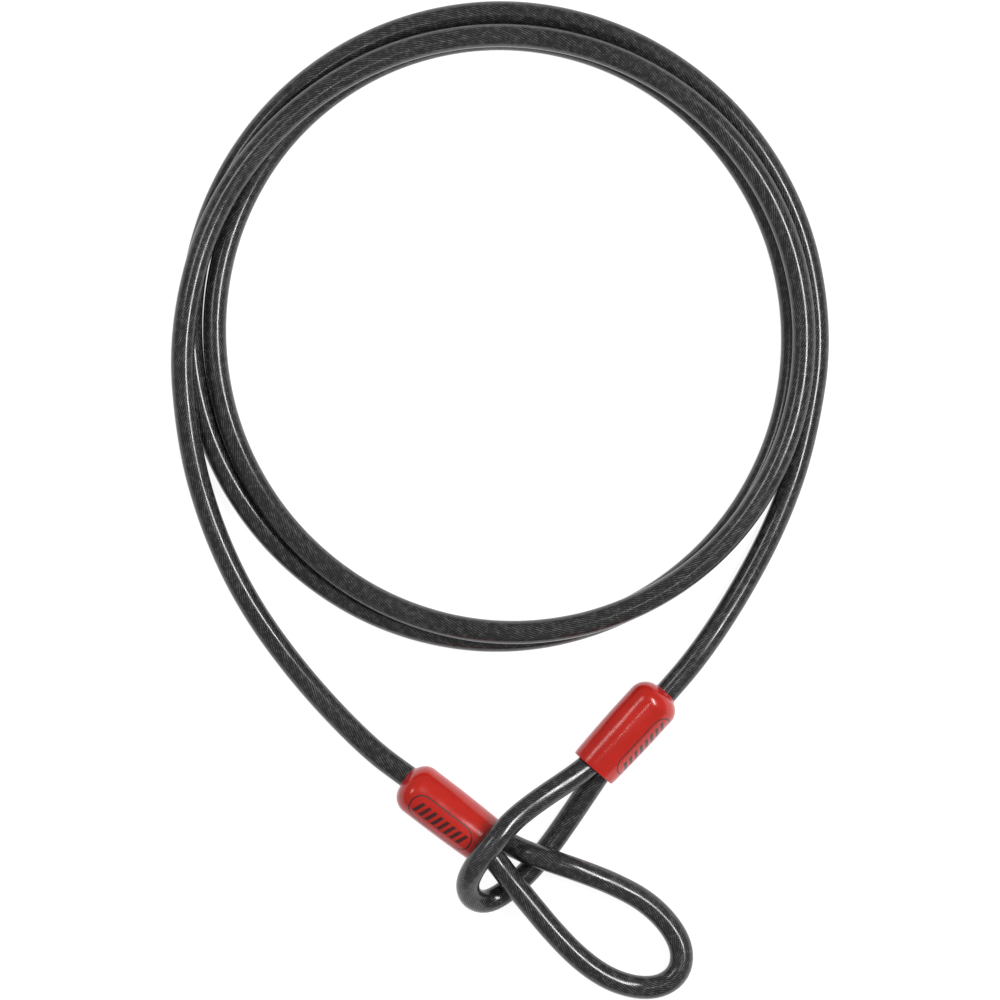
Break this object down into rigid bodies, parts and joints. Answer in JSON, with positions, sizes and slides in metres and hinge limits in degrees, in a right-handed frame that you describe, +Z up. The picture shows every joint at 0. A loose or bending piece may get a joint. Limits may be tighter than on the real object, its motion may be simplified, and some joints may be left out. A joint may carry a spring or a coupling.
{
  "type": "cable lock",
  "caption": "Looped-end security cable: coated steel rope lying in a flat coil, an eye at each end under a red vinyl sleeve, the eyes passed through each other.",
  "frame": {"origin": "on the surface that the coiled cable lies on, at the centre of its bounding box", "axes": "+Z up from that surface; +Y from the two sleeves and eyes towards the far side of the coil; +X to the right seen from above with +Y away from the viewer"},
  "size_m": [0.2251, 0.3415, 0.0288],
  "materials": {
    "galvanised_strand": "galvanised wire, satin",
    "smoked_vinyl": "glossy, smoked translucent vinyl over steel strands",
    "pressed_aluminium": "pressed, satin",
    "red_vinyl": "glossy dip-moulded vinyl with a black printed lozenge"
  },
  "bodies": {
    "root": {"core_strand": "galvanised_strand", "outer_strands": "galvanised_strand", "jacket_long": "smoked_vinyl", "jacket_eye_left": "smoked_vinyl", "jacket_eye_right": "smoked_vinyl", "ferrule_left": "pressed_aluminium", "ferrule_right": "pressed_aluminium", "sleeve_left": "red_vinyl", "sleeve_right": "red_vinyl"}
  },
  "joints": []
}
